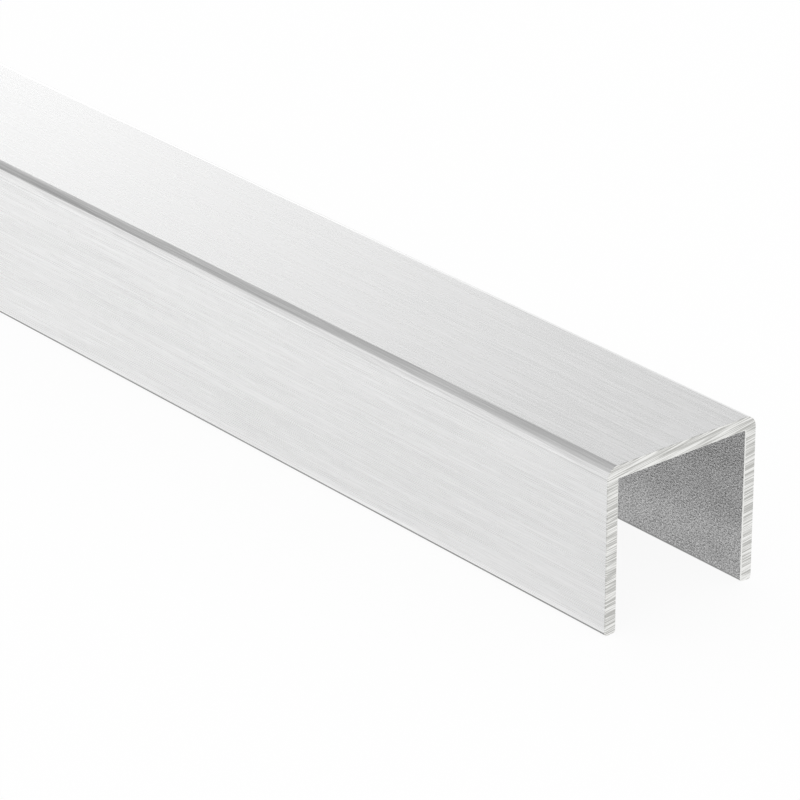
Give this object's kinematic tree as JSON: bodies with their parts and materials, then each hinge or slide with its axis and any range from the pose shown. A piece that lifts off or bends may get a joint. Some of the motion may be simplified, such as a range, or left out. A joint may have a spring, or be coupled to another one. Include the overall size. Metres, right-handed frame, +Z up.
{
  "type": "stainless steel u-channel",
  "caption": "Straight length of U-channel folded from brushed stainless sheet: a flat web, two equal flanges, rounded outer folds and sharp inner corners, for edging, framing or guiding panels.",
  "frame": {"origin": "floor level under the middle of the channel: midway between the flanges and midway along the length, with both toes at Z = 0", "axes": "+Y along the length, +X across the web, +Z up from the toes to the web, which is on top; the section is the same all along, so -Y and +Y ends are alike"},
  "size_m": [0.0412, 0.6096, 0.0381],
  "materials": {
    "brushed_stainless": "fine brushing along the length on the web and the outsides of the flanges, dull mill finish inside, sawn and ground ends with a light deburr"
  },
  "bodies": {
    "root": {"u_channel": "brushed_stainless"}
  },
  "joints": []
}
